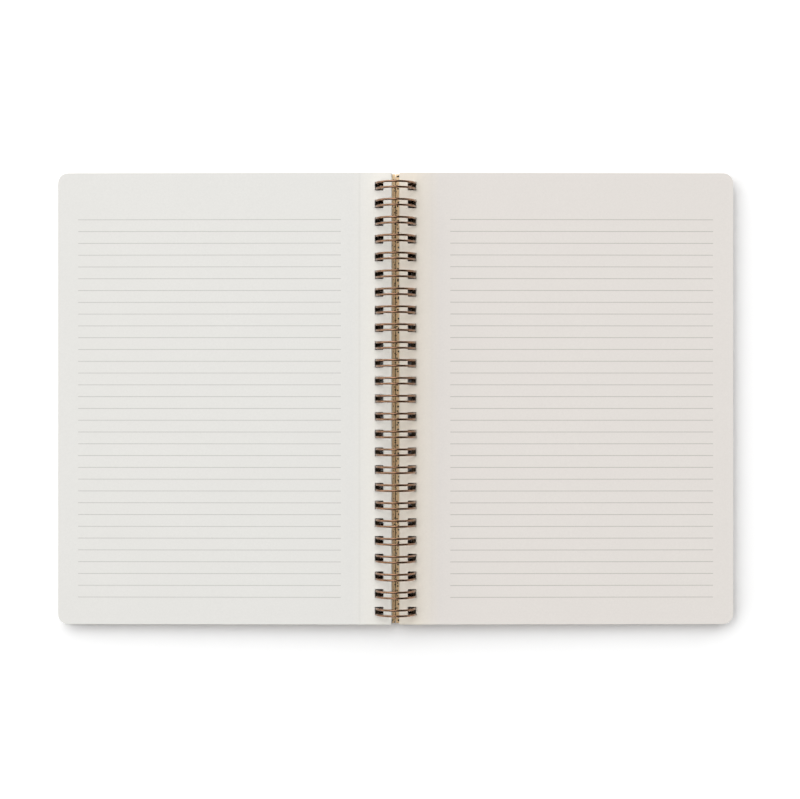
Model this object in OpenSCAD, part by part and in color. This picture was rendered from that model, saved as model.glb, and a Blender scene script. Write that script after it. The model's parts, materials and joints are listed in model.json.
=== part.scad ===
// Open spiral notebook: two ruled leaves lying flat on either side of a twin-loop wire binding.
// X runs across the open book, Y up the page, Z up from the table; the origin is under the ring axis.

/* [Pages] */
// Width of a page, from its spine edge to its fore edge
page_w = 159.7; // [120:0.1:220]
// Height of a page, from tail to head
page_h = 215.9; // [180:0.1:300]
// Radius of the rounded fore-edge corners
corner_r = 4.8; // [1:0.1:12]
// Thickness of the sheets on each side of the rings
stack_t = 6; // [3:0.1:9]
// Distance of the tear-off perforation from the spine edge
perf_in = 15.2; // [13:0.1:20]
// Width of the perforated line
perf_w = 0.3; // [0.2:0.05:0.6]
// Depth of the perforated line
perf_deep = 0.15; // [0.1:0.05:0.3]

/* [Ruling] */
// Distance between two ruled lines
rule_pitch = 5.645; // [5:0.005:9]
// Distance of the first line from the head edge
rule_head = 22.3; // [15:0.1:40]
// Least distance of the last line from the tail edge
rule_tail = 12.5; // [8:0.1:30]
// Margin between the spine edge and the lines
rule_spine = 24.1; // [20:0.1:40]
// Margin between the lines and the fore edge
rule_fore = 9.7; // [5:0.1:25]
// Width of a printed line
rule_w = 0.3; // [0.2:0.05:0.6]
// Height of the ink above the paper
ink_t = 0.06; // [0.04:0.01:0.1]

/* [Covers] */
// Thickness of a cover board
cover_t = 1.6; // [1:0.1:3]
// Gap between the two covers' spine edges
cover_gap = 0.3; // [0.2:0.05:1]
// Height of the covers' undersides above the table, at the rings
leaf_rise = 2.08; // [1.6:0.01:3]
// Gap between the two page faces when the book is shut
shut_gap = 0.34; // [0.25:0.01:0.6]

/* [Wire] */
// Diameter of the wire
wire_d = 1; // [0.7:0.05:1.3]
// Distance between the two wires of a loop, centre to centre
twin_gap = 2.7; // [2.2:0.05:3.2]
// Distance from one loop to the next
loop_pitch = 8.467; // [8:0.001:12.7]
// Bend radius where a wire leaves its loop for the next one
link_bend = 1; // [0.8:0.05:1.2]
// Distance of the first and last loop centres from head and tail, at least
loop_end = 6; // [5:0.1:12]
// Gap left in the closing seam, between a loop's tip and the bends it closes on
seam_gap = 0.2; // [0.1:0.05:0.5]

/* [Punching] */
// Distance from a sheet's spine edge to its holes
hole_margin = 3.75; // [3:0.05:6]
// Clearance between the wires and the holes' other three sides
hole_clear = 0.25; // [0.2:0.01:0.5]
// Play between the wires and the holes' spine side
hole_play = 0.4; // [0.3:0.01:0.8]

/* [Hidden] */
// Circles
$fn = 64;
wire_r = wire_d / 2;
tip_r = twin_gap / 2;
// Small overshoot of a cut past the face it opens
cut_over = 0.5;
// Ring axis above a leaf's underside, and above the table
axis_over_leaf = cover_t + stack_t + shut_gap / 2;
axis_h = axis_over_leaf + leaf_rise;
// The tips of the loops just touch the table
coil_r = sqrt(pow(axis_h - wire_r, 2) - pow(tip_r, 2));
// Loops along the spine
loop_count = floor((page_h - 2 * loop_end) / loop_pitch) + 1;
loop_y0 = -(loop_count - 1) * loop_pitch / 2;
// The seam lies at the bottom of the rings: links on the front cover's side, tips on the other
seam_reach = sqrt(pow(tip_r + link_bend + wire_d + seam_gap, 2) - pow(tip_r + link_bend, 2));
seam_mid = (link_bend + seam_reach - tip_r) / 2;
base_turn = 270 - atan(seam_mid / coil_r);
tip_turn = 270 + atan((seam_reach - seam_mid) / coil_r);
// Tips and bends are a hair thinner than rings and links, and their ends run on a little way inside
neck_slim = 0.02;
neck_r = wire_r - neck_slim;
seat_len = 0.1;
// Ruled lines down a page
rule_count = floor((page_h - rule_head - rule_tail) / rule_pitch) + 1;
rule_len = page_w - rule_spine - rule_fore;
// Holes in the pages and the covers, which follow the rings down through the leaf
hole_h = twin_gap + wire_d + 2 * hole_clear;
page_hole_in = ring_in(axis_over_leaf - cover_t) - hole_play;
page_hole_out = ring_out(shut_gap / 2) + hole_clear;
cover_hole_in = ring_in(axis_over_leaf) - hole_play;
cover_hole_out = ring_out(axis_over_leaf - cover_t) + hole_clear;
page_in = page_hole_in - hole_margin;
// The covers' lower corners come nearest to each other, because each leaf slopes up to the rings
cover_in = cover_gap / 2 + axis_over_leaf * leaf_rise / page_w;
// Each leaf rests on the fore edge of its cover
cover_reach = cover_in + page_w;
leaf_tilt = atan2(cover_reach, axis_over_leaf) - acos(axis_h / norm([cover_reach, axis_over_leaf]));
paper_rgb = [0.93, 0.92, 0.89];
ink_rgb = [0.80, 0.79, 0.77];
board_rgb = [0.74, 0.61, 0.47];
wire_rgb = [0.62, 0.43, 0.32];

// Where the inside and the outside of a ring lie, at a depth below the ring axis
function ring_in(depth) = sqrt(pow(coil_r - wire_r, 2) - pow(depth, 2));
function ring_out(depth) = sqrt(pow(coil_r + wire_r, 2) - pow(depth, 2));
// Loop positions are kept to a thousandth, so that each link's ends meet its bends
function loop_y(i) = round(1000 * (loop_y0 + i * loop_pitch)) / 1000;
function seat_turn(bend_r) = asin(seat_len / bend_r);
function link_len(i) = loop_y(i + 1) - loop_y(i) - twin_gap - 2 * link_bend;

// Round wire bent through an arc, in the XY plane
module bent_wire(bend_r, from, turn, thick_r = neck_r) {
    rotate([0, 0, from])
        rotate_extrude(angle = turn)
            translate([bend_r, 0])
                circle(r = thick_r);
}

// Places its children at a turn round the ring: X outwards, Y along the spine, Z on round the ring
module at_turn(turn) {
    rotate([0, -turn, 0])
        translate([coil_r, 0, 0])
            children();
}

// One of the two wires of a loop, from its tip round to its link
module half_loop(side) {
    translate([0, side * tip_r, 0])
        rotate([90, 0, 0])
            bent_wire(coil_r, tip_turn, base_turn + 360 - tip_turn, wire_r);
    at_turn(base_turn)
        mirror([0, side > 0 ? 0 : 1, 0])
            translate([0, tip_r + link_bend, 0])
                rotate([90, 0, 90])
                    bent_wire(link_bend, 90 - seat_turn(link_bend), 90 + 2 * seat_turn(link_bend));
}

// A loop: two wires that meet in a round tip
module twin_loop() {
    half_loop(1);
    half_loop(-1);
    at_turn(tip_turn)
        rotate([90, 0, 90])
            bent_wire(tip_r, 180 - seat_turn(tip_r), 180 + 2 * seat_turn(tip_r));
}

// Straight wire along the spine, from a loop's bend onwards
module link(length) {
    at_turn(base_turn)
        translate([0, tip_r + link_bend, link_bend])
            rotate([-90, 0, 0])
                cylinder(h = length, r = wire_r);
}

module twin_loop_wire() {
    color(wire_rgb)
        translate([0, 0, axis_h]) {
            for (i = [0 : loop_count - 1])
                translate([0, loop_y(i), 0])
                    twin_loop();
            for (i = [0 : loop_count - 2])
                translate([0, loop_y(i), 0])
                    link(link_len(i));
            for (side = [0, 1])
                mirror([0, side, 0])
                    translate([0, loop_y(loop_count - 1), 0])
                        link(link_len(0) / 2);
        }
}

// Outline of a sheet or a board: square at the spine, rounded at the fore edge
module sheet_outline(spine_x) {
    translate([spine_x, -page_h / 2])
        square([page_w - corner_r, page_h]);
    translate([spine_x, corner_r - page_h / 2])
        square([page_w, page_h - 2 * corner_r]);
    for (side = [-1, 1])
        translate([spine_x + page_w - corner_r, side * (page_h / 2 - corner_r)])
            circle(r = corner_r);
}

// The row of square holes that the loops pass through
module punched_holes(near_x, far_x) {
    for (i = [0 : loop_count - 1])
        translate([near_x, loop_y(i) - hole_h / 2])
            square([far_x - near_x, hole_h]);
}

// Sets a right-hand leaf on the table, with the ring axis over its spine
module right_leaf() {
    translate([0, 0, axis_h])
        rotate([0, leaf_tilt, 0])
            translate([0, 0, -axis_over_leaf])
                children();
}

module left_leaf() {
    mirror([1, 0, 0])
        right_leaf()
            children();
}

module cover_board() {
    color(board_rgb)
        linear_extrude(height = cover_t)
            difference() {
                sheet_outline(cover_in);
                punched_holes(cover_hole_in, cover_hole_out);
            }
}

module page_stack() {
    color(paper_rgb)
        translate([0, 0, cover_t])
            difference() {
                linear_extrude(height = stack_t)
                    difference() {
                        sheet_outline(page_in);
                        punched_holes(page_hole_in, page_hole_out);
                    }
                translate([page_in + perf_in, -page_h / 2 - cut_over, stack_t - perf_deep])
                    cube([perf_w, page_h + 2 * cut_over, perf_deep + cut_over]);
            }
}

module ruling() {
    color(ink_rgb)
        for (i = [0 : rule_count - 1])
            translate([page_in + rule_spine, page_h / 2 - rule_head - i * rule_pitch - rule_w / 2, cover_t + stack_t])
                cube([rule_len, rule_w, ink_t]);
}

module front_cover() {
    left_leaf() cover_board();
}

module back_cover() {
    right_leaf() cover_board();
}

module left_pages() {
    left_leaf() page_stack();
}

module right_pages() {
    right_leaf() page_stack();
}

module left_ruling() {
    left_leaf() ruling();
}

module right_ruling() {
    right_leaf() ruling();
}

twin_loop_wire();
front_cover();
back_cover();
left_pages();
right_pages();
left_ruling();
right_ruling();
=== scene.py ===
import json
import math

import bpy
from mathutils import Matrix, Vector


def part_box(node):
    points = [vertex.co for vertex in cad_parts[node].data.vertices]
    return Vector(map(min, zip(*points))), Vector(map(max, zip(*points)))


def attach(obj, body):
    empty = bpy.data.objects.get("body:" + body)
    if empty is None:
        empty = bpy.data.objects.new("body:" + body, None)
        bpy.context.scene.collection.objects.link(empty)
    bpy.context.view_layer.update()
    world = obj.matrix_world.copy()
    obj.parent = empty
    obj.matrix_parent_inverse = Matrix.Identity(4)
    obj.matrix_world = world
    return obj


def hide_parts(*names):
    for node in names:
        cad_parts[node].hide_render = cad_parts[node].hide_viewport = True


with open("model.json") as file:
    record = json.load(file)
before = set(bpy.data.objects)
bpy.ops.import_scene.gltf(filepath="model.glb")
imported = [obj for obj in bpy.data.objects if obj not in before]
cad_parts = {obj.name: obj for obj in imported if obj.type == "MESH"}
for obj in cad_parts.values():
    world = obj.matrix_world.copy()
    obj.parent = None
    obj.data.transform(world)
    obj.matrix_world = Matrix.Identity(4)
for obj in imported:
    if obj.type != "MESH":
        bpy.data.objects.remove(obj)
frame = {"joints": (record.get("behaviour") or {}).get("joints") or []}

scene = bpy.context.scene
bpy.context.view_layer.update()


# Camera
# It looks straight down on the open book, a little right of the rings and from about arm's length,
# so that the rings near the head and the tail bow outwards as they do in the photograph.
camera_place = (0.0021, -0.0004, 0.88)
camera_lens_mm = 81.95

camera = bpy.data.objects.new("camera", bpy.data.cameras.new("camera"))
camera.location = camera_place
camera.data.lens = camera_lens_mm
scene.collection.objects.link(camera)
scene.camera = camera


# Cover boards
# Each cover is one board of tan pulp 1.6 mm thick with paper glued over both faces, cut flush with the
# sheets, rounded at its fore corners and punched with a row of square holes for the rings.
def feed(tree, socket, value):
    """Links another node's output to this input, or sets the input to a plain value."""
    if isinstance(value, bpy.types.NodeSocket):
        tree.links.new(value, socket)
    else:
        socket.default_value = value


def add_node(tree, kind, given=None, **settings):
    """Adds a node with these settings, and feeds each given value to the input of that name or number."""
    made = tree.nodes.new(kind)
    for name, value in settings.items():
        setattr(made, name, value)
    for name, value in (given or {}).items():
        feed(tree, made.inputs[name], value)
    return made


def calc(tree, operation, *terms):
    """The terms joined by one operation, two at a time from the left."""
    total = terms[0]
    for term in terms[1:]:
        total = add_node(tree, "ShaderNodeMath", {0: total, 1: term}, operation=operation).outputs[0]
    return total


def magnitude(tree, value):
    return add_node(tree, "ShaderNodeMath", {0: value}, operation="ABSOLUTE").outputs[0]


def vector(tree, **parts):
    return add_node(tree, "ShaderNodeCombineXYZ", parts).outputs[0]


def parts_of(tree, place):
    return add_node(tree, "ShaderNodeSeparateXYZ", {0: place}).outputs


def drift(tree, place, features_per_m, detail, reach):
    """A vector that wanders smoothly from place to place, by up to half this reach along each axis."""
    waver = add_node(tree, "ShaderNodeTexNoise",
                     {"Vector": place, "Scale": features_per_m, "Detail": detail}).outputs[1]
    centred = add_node(tree, "ShaderNodeVectorMath", {0: waver, 1: (0.5, 0.5, 0.5)},
                       operation="SUBTRACT").outputs[0]
    return add_node(tree, "ShaderNodeVectorMath", {0: centred, "Scale": reach}, operation="SCALE").outputs[0]


def start_tree(name, inputs):
    """A Geometry Nodes tree with these named inputs, beside the geometry of its object."""
    tree = bpy.data.node_groups.new(name, "GeometryNodeTree")
    tree.interface.new_socket("Geometry", in_out="INPUT", socket_type="NodeSocketGeometry")
    for label, kind in inputs.items():
        tree.interface.new_socket(label, in_out="INPUT", socket_type="NodeSocket" + kind)
    tree.interface.new_socket("Geometry", in_out="OUTPUT", socket_type="NodeSocketGeometry")
    return tree, tree.nodes.new("NodeGroupInput").outputs


def end_tree(tree, geometry, material):
    """Makes instances real, sets the material and ends the tree."""
    real = add_node(tree, "GeometryNodeRealizeInstances", {"Geometry": geometry}).outputs[0]
    dressed = add_node(tree, "GeometryNodeSetMaterial", {"Geometry": real, "Material": material})
    add_node(tree, "NodeGroupOutput", {"Geometry": dressed.outputs[0]})


def grow(tree, name, values, mesh=None):
    """Runs a tree with these values and keeps what it makes as an object with a plain mesh."""
    carrier = bpy.data.objects.new(name + "_carrier", mesh or bpy.data.meshes.new(name + "_start"))
    scene.collection.objects.link(carrier)
    modifier = carrier.modifiers.new("tree", "NODES")
    modifier.node_group = tree
    for item in tree.interface.items_tree:
        if item.in_out == "INPUT" and item.name in values:
            modifier[item.identifier] = values[item.name]
    depsgraph = bpy.context.evaluated_depsgraph_get()
    made = bpy.data.meshes.new_from_object(carrier.evaluated_get(depsgraph), depsgraph=depsgraph)
    bpy.data.objects.remove(carrier)
    made.name = name
    piece = bpy.data.objects.new(name, made)
    scene.collection.objects.link(piece)
    return piece


def points_along_spine(tree, count, pitch, x=0.0):
    """A row of points along Y, with its middle on the X axis."""
    reach = calc(tree, "MULTIPLY", pitch, calc(tree, "ADD", count, -1))
    start = vector(tree, X=x, Y=calc(tree, "MULTIPLY", reach, -0.5))
    return add_node(tree, "GeometryNodeMeshLine",
                    {"Count": count, "Start Location": start, "Offset": vector(tree, Y=pitch)},
                    mode="OFFSET").outputs[0]


def copies(tree, points, instance):
    return add_node(tree, "GeometryNodeInstanceOnPoints",
                    {"Points": points, "Instance": instance}).outputs[0]


def join(tree, *geometries):
    joined = add_node(tree, "GeometryNodeJoinGeometry")
    for geometry in geometries:
        tree.links.new(geometry, joined.inputs[0])
    return joined.outputs[0]


def rectangle(tree, width, height):
    return add_node(tree, "GeometryNodeCurvePrimitiveQuadrilateral",
                    {"Width": width, "Height": height}).outputs[0]


def rounded(tree, curve, steps, radius):
    return add_node(tree, "GeometryNodeFilletCurve", {"Curve": curve, "Count": steps, "Radius": radius},
                    mode="POLY").outputs[0]


def cuts_along_spine(tree, count, pitch, near_x, cut, width):
    """Copies of one cut along the spine, each with its near side at this distance from the edge."""
    middle_x = calc(tree, "ADD", near_x, calc(tree, "MULTIPLY", width, 0.5))
    cuts = copies(tree, points_along_spine(tree, count, pitch, middle_x), cut)
    return add_node(tree, "GeometryNodeRealizeInstances", {"Geometry": cuts}).outputs[0]


def mark_faces(tree, mesh, name, value):
    return add_node(tree, "GeometryNodeStoreNamedAttribute",
                    {"Geometry": mesh, "Name": name, "Value": value},
                    data_type="FLOAT", domain="FACE").outputs[0]


def punched_card_tree():
    """Cards with rounded fore corners and a row of square holes, stacked up from the XY plane."""
    tree, given = start_tree("punched_cards", {
        "Width": "Float", "Height": "Float", "Corner Radius": "Float",
        "Hole Count": "Int", "Hole Pitch": "Float", "Hole Start": "Float", "Hole Width": "Float",
        "Hole Height": "Float", "Hole Corner": "Float", "Thickness": "Float", "Cards": "Int",
        "Card Pitch": "Float", "Scatter": "Float", "Slant": "Float", "Seed": "Int", "Slit Count": "Int",
        "Slit Pitch": "Float", "Slit Place": "Float", "Slit Width": "Float", "Slit Length": "Float",
        "Material": "Material"})

    # The outline of a card, with its spine edge on the Y axis and only its fore corners rounded
    half_width = calc(tree, "MULTIPLY", given["Width"], 0.5)
    centred = rectangle(tree, given["Width"], given["Height"])
    outline = add_node(tree, "GeometryNodeSetPosition",
                       {"Geometry": centred, "Offset": vector(tree, X=half_width)}).outputs[0]
    place_x = parts_of(tree, add_node(tree, "GeometryNodeInputPosition").outputs[0])["X"]
    at_fore_edge = calc(tree, "GREATER_THAN", place_x, half_width)
    radius = calc(tree, "MULTIPLY", at_fore_edge, given["Corner Radius"])
    outline = rounded(tree, outline, corner_steps, radius)
    hole = rounded(tree, rectangle(tree, given["Hole Width"], given["Hole Height"]),
                   hole_corner_steps, given["Hole Corner"])
    holes = cuts_along_spine(tree, given["Hole Count"], given["Hole Pitch"], given["Hole Start"],
                             hole, given["Hole Width"])
    slit = rectangle(tree, given["Slit Width"], given["Slit Length"])
    slits = cuts_along_spine(tree, given["Slit Count"], given["Slit Pitch"], given["Slit Place"],
                             slit, given["Slit Width"])
    curves = join(tree, outline, holes, slits)

    # The outline raised to a card, with its cut edges and the walls of its holes marked for the material
    face = add_node(tree, "GeometryNodeFillCurve", {"Curve": curves}, mode="TRIANGLES").outputs[0]
    raised = add_node(tree, "GeometryNodeExtrudeMesh",
                      {"Mesh": face, "Offset": vector(tree, Z=given["Thickness"]), "Offset Scale": 1.0,
                       "Individual": False}, mode="FACES").outputs
    cut_edge = mark_faces(tree, raised["Mesh"], "cut_edge", raised["Side"])
    hole_end = calc(tree, "ADD", given["Hole Start"], given["Hole Width"])
    from_start = calc(tree, "SUBTRACT", place_x, given["Hole Start"])
    past_start = calc(tree, "GREATER_THAN", from_start, -hole_slack)
    before_end = calc(tree, "LESS_THAN", calc(tree, "SUBTRACT", place_x, hole_end), hole_slack)
    walls = mark_faces(tree, cut_edge, "punched",
                       calc(tree, "MULTIPLY", raised["Side"], past_start, before_end))
    underside = add_node(tree, "GeometryNodeFlipFaces", {"Mesh": face}).outputs[0]
    card = add_node(tree, "GeometryNodeMergeByDistance",
                    {"Geometry": join(tree, walls, underside), "Distance": weld}).outputs[0]

    # The pile: each card strays a little, and the lower ones are drawn in towards the spine
    levels = add_node(tree, "GeometryNodeMeshLine",
                      {"Count": given["Cards"], "Offset": vector(tree, Z=given["Card Pitch"])},
                      mode="OFFSET").outputs[0]
    ahead = given["Scatter"]
    back = calc(tree, "MULTIPLY", ahead, -1)
    jog = add_node(tree, "FunctionNodeRandomValue",
                   {"Min": vector(tree, X=back, Y=back), "Max": vector(tree, X=ahead, Y=ahead),
                    "Seed": given["Seed"]}, data_type="FLOAT_VECTOR").outputs[0]
    level = add_node(tree, "GeometryNodeInputIndex").outputs[0]
    share = calc(tree, "DIVIDE", level, calc(tree, "ADD", given["Cards"], -1))
    drawn_in = calc(tree, "MULTIPLY", given["Slant"], calc(tree, "SUBTRACT", 1, share), -1)
    shift = add_node(tree, "ShaderNodeVectorMath", {0: jog, 1: vector(tree, X=drawn_in)}).outputs[0]
    jogged = add_node(tree, "GeometryNodeSetPosition", {"Geometry": levels, "Offset": shift}).outputs[0]
    end_tree(tree, copies(tree, jogged, card), given["Material"])
    return tree


corner_steps = 7
hole_corner_steps = 3
hole_slack = 0.0001
weld = 1e-6
card_tree = punched_card_tree()

ring_axis = Vector(frame["joints"][0]["pos_m"])
wire_d = 0.001
wire_low, wire_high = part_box("twin_loop_wire")
ring_r = wire_high.x - wire_d / 2
twin_gap = 0.0027
loop_pitch = 0.008467
loop_count = round((wire_high.y - wire_low.y) / loop_pitch)
hole_clear = 0.00025
hole_play = 0.0004
hole_h = twin_gap + wire_d + 2 * hole_clear
hole_corner = 0.0004
corner_r = 0.0048
page_w = 0.1597
stack_t = 0.006
board_t = 0.0016
shut_gap = 0.00034
axis_over_cover = board_t + stack_t + shut_gap / 2


def leaf_slope(node, thickness):
    """The angle at which a flat leaf of this thickness fills the height of its node's box."""
    low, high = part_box(node)
    return math.asin((high.z - low.z) / math.hypot(page_w, thickness)) - math.atan(thickness / page_w)


def ring_inside(depth):
    return math.sqrt((ring_r - wire_d / 2) ** 2 - depth ** 2)


def ring_outside(depth):
    return math.sqrt((ring_r + wire_d / 2) ** 2 - depth ** 2)


def lay_right_leaf(piece, node, thickness):
    """Tilts a piece built in the XY plane about its spine edge, and sets it where the node lies."""
    low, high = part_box(node)
    slope = leaf_slope(node, thickness)
    spine = Vector((low.x, 0, high.z - thickness * math.cos(slope)))
    piece.data.transform(Matrix.Translation(spine) @ Matrix.Rotation(slope, 4, "Y"))


def turn_to_left(piece):
    """The left-hand leaf is the right-hand one turned half round on the table."""
    piece.data.transform(Matrix.Rotation(math.pi, 4, "Z"))


pages_low, pages_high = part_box("right_pages")
page_height = pages_high.y - pages_low.y
board_low, board_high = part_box("back_cover")
board_spine_in = board_low.x + axis_over_cover * math.sin(leaf_slope("back_cover", board_t))
board_hole_near = ring_inside(axis_over_cover) - hole_play
board_hole_far = ring_outside(axis_over_cover - board_t) + hole_clear
board_middle_z = board_high.z - board_t / 2


def new_material(name):
    material = bpy.data.materials.new(name)
    material.use_nodes = True
    tree = material.node_tree
    place = tree.nodes.new("ShaderNodeTexCoord").outputs["Object"]
    return material, tree, place


def shade(material, **inputs):
    """Feeds inputs of the material's own Principled shader, by their names in lower case."""
    shader = material.node_tree.nodes["Principled BSDF"]
    for label, value in inputs.items():
        feed(material.node_tree, shader.inputs[label.replace("_", " ").title()], value)


def noise(tree, place, features_per_m, detail=3.0, roughness=0.5):
    return add_node(tree, "ShaderNodeTexNoise", {"Vector": place, "Scale": features_per_m,
                                                 "Detail": detail, "Roughness": roughness}).outputs[0]


def spread(tree, value, low, high, to_low, to_high, interpolation="LINEAR"):
    return add_node(tree, "ShaderNodeMapRange",
                    {"Value": value, "From Min": low, "From Max": high, "To Min": to_low, "To Max": to_high},
                    interpolation_type=interpolation).outputs[0]


def blend_colors(tree, share, first, second, mode="MIX"):
    mixed = add_node(tree, "ShaderNodeMix", data_type="RGBA", blend_type=mode)
    for socket, value in ((mixed.inputs[0], share), (mixed.inputs[6], first), (mixed.inputs[7], second)):
        feed(tree, socket, value)
    return mixed.outputs[2]


def toned(tint, share=1.0):
    """An opaque colour that is this share of the tint."""
    return tuple(share * part for part in tint) + (1,)


def mark_in(tree, name):
    return add_node(tree, "ShaderNodeAttribute", attribute_name=name).outputs["Fac"]


def bumped(tree, height, distance):
    return add_node(tree, "ShaderNodeBump",
                    {"Height": height, "Distance": distance, "Strength": 1.0}).outputs[0]


# Nearly all of a noise's values lie in its span, and most of them in its core
noise_span = (0.3, 0.7)
noise_core = (0.35, 0.65)


def board_material(name, least_dot, largest_dot):
    """Tan dotted liner over tan pulp that shows at the cuts, with painted shade on its inner face under the
    sheets' holes.
    """
    material, tree, place = new_material(name)
    liner = toned((0.96, 0.66, 0.36))
    liner_pale = toned((0.97, 0.75, 0.47))
    liner_roughness = (0.62, 0.78)
    pulp = toned((0.52, 0.40, 0.28))
    pulp_dark = toned((0.36, 0.27, 0.19))
    fibre_tone = 0.06
    fibre_relief = 0.00003
    fibre = noise(tree, place, 1400, detail=6.0, roughness=0.65)
    cloud = noise(tree, place, 45)

    dot = toned((0.020, 0.008, 0.002))
    dots_per_m = 580
    dot_edge = 0.02
    strays_per_m = 900.0
    stray = 0.0004
    strayed = drift(tree, place, strays_per_m, 2.0, stray)
    bent = add_node(tree, "ShaderNodeVectorMath", {0: place, 1: strayed}).outputs[0]
    cells = add_node(tree, "ShaderNodeTexVoronoi", {"Vector": bent, "Scale": dots_per_m, "Randomness": 1.0},
                     voronoi_dimensions="2D").outputs
    size = spread(tree, parts_of(tree, cells["Color"])["X"], 0.1, 0.9, least_dot, largest_dot)
    printed = spread(tree, calc(tree, "SUBTRACT", size, cells["Distance"]), -dot_edge, dot_edge, 0, 1)

    # Painted shade: the inner face is darkened towards the dot colour in a band under the sheets' holes,
    # where shade falls.
    hole_shade_near = 0.0035
    hole_shade_far = 0.0105
    hole_shade_soft = 0.0005
    hole_shade_share = 0.85
    parts = parts_of(tree, place)
    from_middle = magnitude(tree, parts["X"])
    past_near = spread(tree, from_middle, hole_shade_near, hole_shade_near + hole_shade_soft, 0, 1)
    before_far = spread(tree, from_middle, hole_shade_far, hole_shade_far + hole_shade_soft, 1, 0)
    inside = spread(tree, parts["Z"], board_middle_z, board_middle_z + hole_shade_soft, 0, 1)
    painted_hole_shade = calc(tree, "MULTIPLY", past_near, before_far, inside, hole_shade_share)

    paper = blend_colors(tree, spread(tree, cloud, *noise_span, 0, 1), liner, liner_pale)
    for share in (spread(tree, fibre, *noise_core, fibre_tone, 0), printed, painted_hole_shade):
        paper = blend_colors(tree, share, paper, dot)
    core = blend_colors(tree, noise(tree, place, 700, detail=4.0, roughness=0.6), pulp_dark, pulp)
    shade(material, base_color=blend_colors(tree, mark_in(tree, "cut_edge"), paper, core),
          roughness=spread(tree, fibre, *noise_span, *liner_roughness),
          normal=bumped(tree, fibre, fibre_relief))
    return material


def punched_cards(name, material, thickness, hole_start, hole_width, more):
    """Boards or sheets of one outline and punching; more holds the values of the tree's other inputs."""
    shared = {"Width": page_w, "Height": page_height, "Corner Radius": corner_r, "Thickness": thickness,
              "Hole Count": loop_count, "Hole Pitch": loop_pitch, "Hole Start": hole_start,
              "Hole Width": hole_width, "Hole Height": hole_h, "Hole Corner": hole_corner,
              "Material": material}
    return grow(card_tree, name, {**shared, **more})


def cover_board(name, liner):
    board = punched_cards(name, liner, board_t, board_hole_near - board_spine_in,
                          board_hole_far - board_hole_near, {"Cards": 1})
    lay_right_leaf(board, "back_cover", board_t)
    return board


front_liner = board_material("front_liner", 0.02, 0.22)
back_liner = board_material("back_liner", 0.16, 0.28)

back_board = cover_board("back_board", back_liner)
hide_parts("back_cover")
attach(back_board, "back_leaf")

front_board = cover_board("front_board", front_liner)
turn_to_left(front_board)
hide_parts("front_cover")
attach(front_board, "front_leaf")


# Sheets
# Sixty loose sheets of pale wove paper lie on each cover, punched like it and jogged nearly flush. The
# uppermost one has a tear-off line of fine slits. The walls of the holes carry near-black painted shade.
sheet_count = 60
sheet_pitch = stack_t / sheet_count
sheet_t = 0.000094
sheet_scatter = 0.00007
sheet_slant = 0.00025
slit_in = 0.0152
slit_w = 0.0002
slit_len = 0.0014
slit_pitch = 0.0018
page_slope = leaf_slope("right_pages", stack_t)
page_spine_in = pages_low.x + (axis_over_cover - board_t) * math.sin(page_slope)
page_hole_near = ring_inside(axis_over_cover - board_t) - hole_play
page_hole_far = ring_outside(shut_gap / 2) + hole_clear
slit_x = pages_low.x + (slit_in + slit_w / 2) * math.cos(page_slope)


def paper_material(name, tint, ring_light_lift, tear_line_shade):
    """Wove paper with painted light by the rings, a painted shade line along the tear-off line, dull cut
    edges and painted shade on the walls of the holes.
    """
    material, tree, place = new_material(name)
    dull = toned(tint, 0.955)
    edge = toned(tint, 0.95)
    tear_line_shade_color = toned((0.25, 0.24, 0.22))
    hole_shade_color = toned((0.022, 0.013, 0.009))
    cloud_tone = 0.25
    ring_light_reach = 0.009
    ring_light_fade = 0.012
    tear_line_shade_core = 0.0003
    tear_line_shade_reach = 0.0007
    paper_roughness = (0.82, 0.92)
    fibre_relief = 0.000012
    fibre = noise(tree, place, 1100, detail=7.0, roughness=0.7)
    cloud = noise(tree, place, 38)
    from_middle = magnitude(tree, parts_of(tree, place)["X"])
    # Painted light: the paper is tinted lighter in a band by the rings, where the rings cast shade.
    painted_ring_light = spread(tree, from_middle, ring_light_reach, ring_light_reach + ring_light_fade, 1, 0)
    # Painted shade: a grey line along the tear-off line, stronger on the left sheets than on the right.
    off_line = magnitude(tree, calc(tree, "ADD", from_middle, -slit_x))
    near_line = spread(tree, off_line, tear_line_shade_core, tear_line_shade_reach, tear_line_shade, 0)
    paper = blend_colors(tree, spread(tree, fibre, 0.30, 0.62, 1, 0), toned(tint), dull)
    paper = blend_colors(tree, spread(tree, cloud, *noise_core, cloud_tone, 0), paper, dull)
    paper = blend_colors(tree, painted_ring_light, paper, toned(ring_light_lift), mode="MULTIPLY")
    paper = blend_colors(tree, near_line, paper, tear_line_shade_color)
    paper = blend_colors(tree, mark_in(tree, "cut_edge"), paper, edge)
    # Painted shade: the walls of the holes, marked as punched, take a near-black colour.
    paper = blend_colors(tree, mark_in(tree, "punched"), paper, hole_shade_color)
    shade(material, base_color=paper, roughness=spread(tree, fibre, *noise_span, *paper_roughness),
          normal=bumped(tree, fibre, fibre_relief))
    return material


# Painted shade: both stacks are the same paper, but the right sheets take a darker, warmer tint and a weaker
# lift by the rings, as the light falls from the upper left.
left_paper = paper_material("left_paper", (0.808, 0.799, 0.768), (1.10, 1.09, 1.06), 0.05)
shaded_right_paper = paper_material("shaded_right_paper", (0.801, 0.761, 0.722), (1.10, 1.075, 0.99), 0.015)


def sheets(name, material, more):
    return punched_cards(name, material, sheet_t, page_hole_near - page_spine_in,
                         page_hole_far - page_hole_near, more)


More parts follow.
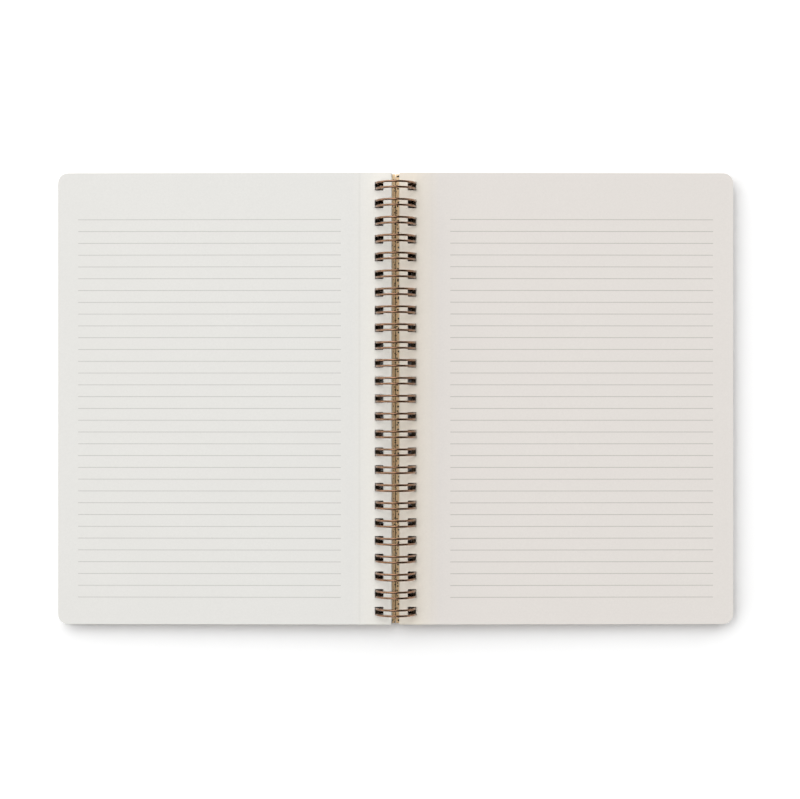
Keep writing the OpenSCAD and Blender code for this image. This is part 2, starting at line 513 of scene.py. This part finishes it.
def page_stack(name, material, seed):
    """Returns the pile under the top sheet, and the top sheet with its slits."""
    pile = sheets(name, material, {
        "Cards": sheet_count - 1, "Card Pitch": sheet_pitch, "Scatter": sheet_scatter,
        "Slant": sheet_slant, "Seed": seed})
    top = sheets(name + "_top_sheet", material, {
        "Cards": 1, "Slit Count": int(page_height / slit_pitch), "Slit Pitch": slit_pitch,
        "Slit Place": slit_in, "Slit Width": slit_w, "Slit Length": slit_len})
    top.data.transform(Matrix.Translation((0, 0, stack_t - sheet_t)))
    for piece in (pile, top):
        lay_right_leaf(piece, "right_pages", stack_t)
    return pile, top


for side, body, material, seed in (("right", "back_leaf", shaded_right_paper, 3),
                                   ("left", "front_leaf", left_paper, 8)):
    pile, top = page_stack(side + "_sheets", material, seed)
    for piece in (pile, top):
        if side == "left":
            turn_to_left(piece)
        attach(piece, body)
    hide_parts(side + "_pages")


# Ruling
# Thirty-three faint grey lines are printed on the uppermost sheet of each side, with a deep head margin and
# a spine margin wide enough to clear the tear-off line.
rule_low, rule_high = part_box("right_ruling")
rule_pitch = 0.005645
rule_w = 0.00030
ink_film = 0.000012
rule_count = round((rule_high.y - rule_low.y) / rule_pitch) + 1
rule_len = (rule_high.x - rule_low.x) / math.cos(page_slope)
rule_drop = (rule_low.x - pages_low.x + rule_len / 2) * math.sin(page_slope)
first_rule = (rule_low.x + rule_len / 2 * math.cos(page_slope), rule_high.y - rule_w / 2,
              pages_high.z - rule_drop)


def ruled_line_tree():
    tree, given = start_tree("ruled_lines", {"Count": "Int", "Pitch": "Float", "Length": "Float",
                                             "Width": "Float", "Film": "Float", "Material": "Material"})
    size = vector(tree, X=given["Length"], Y=given["Width"], Z=given["Film"])
    stroke = add_node(tree, "GeometryNodeMeshCube", {"Size": size}).outputs[0]
    down = vector(tree, Y=calc(tree, "MULTIPLY", given["Pitch"], -1))
    rows = add_node(tree, "GeometryNodeMeshLine", {"Count": given["Count"], "Offset": down}, mode="OFFSET")
    end_tree(tree, copies(tree, rows.outputs[0], stroke), given["Material"])
    return tree


def ink_material(name, tint):
    """Thin grey ink that takes unevenly on the grain of the paper, and a little of the paper's own tint."""
    material, tree, place = new_material(name)
    heavy = toned(tint, 0.92)
    light = toned(tint, 1.08)
    ink_roughness = (0.8, 0.9)
    grain = noise(tree, place, 2600, detail=4.0, roughness=0.6)
    shade(material, base_color=blend_colors(tree, spread(tree, grain, *noise_span, 0, 1), heavy, light),
          roughness=spread(tree, grain, *noise_span, *ink_roughness))
    return material


# Painted shade: the ink is the same on both sides, but the right lines take a darker, warmer tint, as the
# light falls from the upper left.
left_ink = ink_material("left_ink", (0.557, 0.545, 0.520))
shaded_right_ink = ink_material("shaded_right_ink", (0.505, 0.478, 0.443))
line_tree = ruled_line_tree()
for side, body, ink in (("right", "back_leaf", shaded_right_ink), ("left", "front_leaf", left_ink)):
    lines = grow(line_tree, side + "_ruled_lines",
                 {"Count": rule_count, "Pitch": rule_pitch, "Length": rule_len, "Width": rule_w,
                  "Film": ink_film, "Material": ink})
    lines.data.transform(Matrix.Translation(first_rule) @ Matrix.Rotation(page_slope, 4, "Y"))
    if side == "left":
        # Mirrored and not turned, so that the deep margin stays at the head
        lines.data.transform(Matrix.Scale(-1, 4, (1, 0, 0)))
        lines.data.flip_normals()
    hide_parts(side + "_ruling")
    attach(lines, body)


# Twin-loop wire
# One length of bronze-lacquered wire is bent into a comb of double fingers joined by short links. The comb
# is pressed round through the punched holes until each finger's tip nests between the bends it closes on.
link_bend = 0.001
seam_gap = 0.0002
tip_r = twin_gap / 2
seam_reach = math.sqrt((tip_r + link_bend + wire_d + seam_gap) ** 2 - (tip_r + link_bend) ** 2)
seam_mid = (link_bend + seam_reach - tip_r) / 2
ring_bottom = 1.5 * math.pi
base_turn = ring_bottom - math.atan(seam_mid / ring_r)
tip_turn = ring_bottom + math.atan((seam_reach - seam_mid) / ring_r)
ring_steps = 72
bend_steps = 6
wire_sides = 12
wobble = 0.00008
wobbles_per_m = 90.0


def loop_path():
    """One double finger as (way round the ring, place along the spine), from one link to the next."""
    base = (base_turn + 2 * math.pi) * ring_r
    tip = tip_turn * ring_r
    path = [(base + link_bend, -loop_pitch / 2)]
    for i in range(bend_steps + 1):
        turn = i / bend_steps * math.pi / 2
        path.append((base + link_bend * math.cos(turn), -tip_r - link_bend + link_bend * math.sin(turn)))
    for i in range(1, ring_steps + 1):
        path.append((base + (tip - base) * i / ring_steps, -tip_r))
    for i in range(1, 2 * bend_steps):
        turn = i / (2 * bend_steps) * math.pi
        path.append((tip - tip_r * math.sin(turn), -tip_r * math.cos(turn)))
    return path + [(way, -y) for way, y in reversed(path[:bend_steps + ring_steps + 2])]


def loop_mesh():
    """The path wrapped round the ring's axis, as a chain of edges."""
    points = [(ring_r * math.cos(way / ring_r), y, ring_r * math.sin(way / ring_r) + ring_axis.z)
              for way, y in loop_path()]
    mesh = bpy.data.meshes.new("loop_path")
    mesh.from_pydata(points, [(i, i + 1) for i in range(len(points) - 1)], [])
    return mesh


def wire_tree():
    tree, given = start_tree("twin_loops", {"Loops": "Int", "Pitch": "Float", "Wire Radius": "Float",
                                            "Sides": "Int", "Wobble": "Float", "Material": "Material"})
    fingers = copies(tree, points_along_spine(tree, given["Loops"], given["Pitch"]), given["Geometry"])
    chain = add_node(tree, "GeometryNodeRealizeInstances", {"Geometry": fingers}).outputs[0]
    joined = add_node(tree, "GeometryNodeMergeByDistance", {"Geometry": chain, "Distance": weld}).outputs[0]
    place = add_node(tree, "GeometryNodeInputPosition").outputs[0]
    offset = drift(tree, place, wobbles_per_m, 1.0, given["Wobble"])
    bent = add_node(tree, "GeometryNodeSetPosition", {"Geometry": joined, "Offset": offset}).outputs[0]
    route = add_node(tree, "GeometryNodeMeshToCurve", {"Mesh": bent}).outputs[0]
    section = add_node(tree, "GeometryNodeCurvePrimitiveCircle",
                       {"Resolution": given["Sides"], "Radius": given["Wire Radius"]}).outputs[0]
    tube = add_node(tree, "GeometryNodeCurveToMesh",
                    {"Curve": route, "Profile Curve": section, "Fill Caps": True}).outputs[0]
    smooth = add_node(tree, "GeometryNodeSetShadeSmooth", {"Geometry": tube}).outputs[0]
    end_tree(tree, smooth, given["Material"])
    return tree


def lacquered_wire_material():
    """Drawn wire, patchy in tone, under a thin clear coat of bronze lacquer."""
    material, tree, place = new_material("bronze_lacquer")
    bronze_dark = toned((0.28, 0.153, 0.088))
    bronze_pale = toned((0.36, 0.198, 0.115))
    wire_roughness = (0.14, 0.22)
    drawn_relief = 0.000004
    drawn = noise(tree, place, 2400, detail=4.0, roughness=0.6)
    patch = noise(tree, place, 160)
    bronze = blend_colors(tree, spread(tree, patch, *noise_core, 0, 1), bronze_dark, bronze_pale)
    shade(material, base_color=bronze, metallic=1.0, coat_weight=0.4, coat_roughness=0.12,
          roughness=spread(tree, drawn, *noise_span, *wire_roughness),
          normal=bumped(tree, drawn, drawn_relief))
    return material


wire = grow(wire_tree(), "bound_wire",
            {"Loops": loop_count, "Pitch": loop_pitch, "Wire Radius": wire_d / 2, "Sides": wire_sides,
             "Wobble": wobble, "Material": lacquered_wire_material()}, loop_mesh())
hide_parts("twin_loop_wire")
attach(wire, "binding")


# Studio
# A bank of light with a softbox in it fills the upper left of a room whose table and backdrop look white.
# Two dark cards that only the metal shows leave the rings bright on their left halves and upper edges.
light_turn = 0.68
light_way = (-math.sin(light_turn), math.cos(light_turn), 0)
light_edge = -0.10
light_edge_soft = 0.066
light_level = 1.29
light_low_gain = 0.4
dark_level = 0.03
backdrop_full_below = 0.121
backdrop_gone_above = 0.271
backdrop_level = 0.35
right_card_edge = 0.12
right_card_soft = 0.08
near_card_edge = 0.14
near_card_soft = 0.2
card_dark = 0.96
softbox_rise = 1.8
softbox_distance = 1.7
softbox_size = 1.0
softbox_watts = 5.2
table_reach = 8.0
table_pale = toned((0.80, 0.80, 0.80))
table_seen = toned((1.13, 1.13, 1.13))

softbox_way = Vector((light_way[0], light_way[1], softbox_rise)).normalized()
softbox = bpy.data.objects.new("softbox", bpy.data.lights.new("softbox", "AREA"))
softbox.data.shape = "SQUARE"
softbox.data.size = softbox_size
softbox.data.energy = softbox_watts
softbox.location = softbox_way * softbox_distance
softbox.rotation_euler = softbox_way.to_track_quat("Z", "Y").to_euler()
scene.collection.objects.link(softbox)


def looked_at(tree):
    """1 for rays of the camera and of reflections and glass, 0 for the rest."""
    rays = tree.nodes.new("ShaderNodeLightPath").outputs
    return calc(tree, "MAXIMUM", rays["Is Camera Ray"], rays["Is Glossy Ray"], rays["Is Transmission Ray"])


table_mesh = bpy.data.meshes.new("table")
corners = [(-table_reach, -table_reach, 0), (table_reach, -table_reach, 0),
           (table_reach, table_reach, 0), (-table_reach, table_reach, 0)]
table_mesh.from_pydata(corners, [], [(0, 1, 2, 3)])
table = bpy.data.objects.new("table", table_mesh)
scene.collection.objects.link(table)
table_material = bpy.data.materials.new("table_top")
table_material.use_nodes = True
table_tree = table_material.node_tree
table_tree.nodes.remove(table_tree.nodes["Principled BSDF"])
table_color = blend_colors(table_tree, looked_at(table_tree), table_pale, table_seen)
table_matte = add_node(table_tree, "ShaderNodeBsdfDiffuse", {"Color": table_color})
table_tree.links.new(table_matte.outputs[0], table_tree.nodes["Material Output"].inputs["Surface"])
table_mesh.materials.append(table_material)

room = bpy.data.worlds.new("room")
scene.world = room
room.use_nodes = True
room_tree = room.node_tree
way = room_tree.nodes.new("ShaderNodeTexCoord").outputs["Generated"]
way_parts = parts_of(room_tree, way)
toward_light = add_node(room_tree, "ShaderNodeVectorMath", {0: way, 1: light_way}, operation="DOT_PRODUCT")
lit = spread(room_tree, toward_light.outputs["Value"], light_edge - light_edge_soft,
             light_edge + light_edge_soft, 0, 1, "SMOOTHSTEP")
bank = spread(room_tree, way_parts["Z"], 0, 1, light_level * (1 + light_low_gain), light_level)
sky = calc(room_tree, "ADD", calc(room_tree, "MULTIPLY", lit, bank), dark_level)
low = spread(room_tree, way_parts["Z"], backdrop_full_below, backdrop_gone_above, 1, 0, "SMOOTHSTEP")
backdrop = calc(room_tree, "MULTIPLY", low,
                spread(room_tree, looked_at(room_tree), 0, 1, backdrop_level, 1))
right_card = spread(room_tree, way_parts["X"], right_card_edge - right_card_soft,
                    right_card_edge + right_card_soft, 0, 1)
near_card = spread(room_tree, way_parts["Y"], near_card_edge - near_card_soft,
                   near_card_edge + near_card_soft, 1, 0)
cards = calc(room_tree, "MAXIMUM", right_card, near_card)
in_metal = room_tree.nodes.new("ShaderNodeLightPath").outputs["Is Glossy Ray"]
above_backdrop = calc(room_tree, "SUBTRACT", 1, low)
shaded = calc(room_tree, "MULTIPLY", cards, in_metal, above_backdrop, card_dark)
room_light = calc(room_tree, "MULTIPLY", calc(room_tree, "MAXIMUM", sky, backdrop),
                  calc(room_tree, "SUBTRACT", 1, shaded))
room_tree.links.new(room_light, room_tree.nodes["Background"].inputs["Strength"])
room_tree.nodes["Background"].inputs["Color"].default_value = (1, 1, 1, 1)

scene.view_settings.view_transform = "Standard"
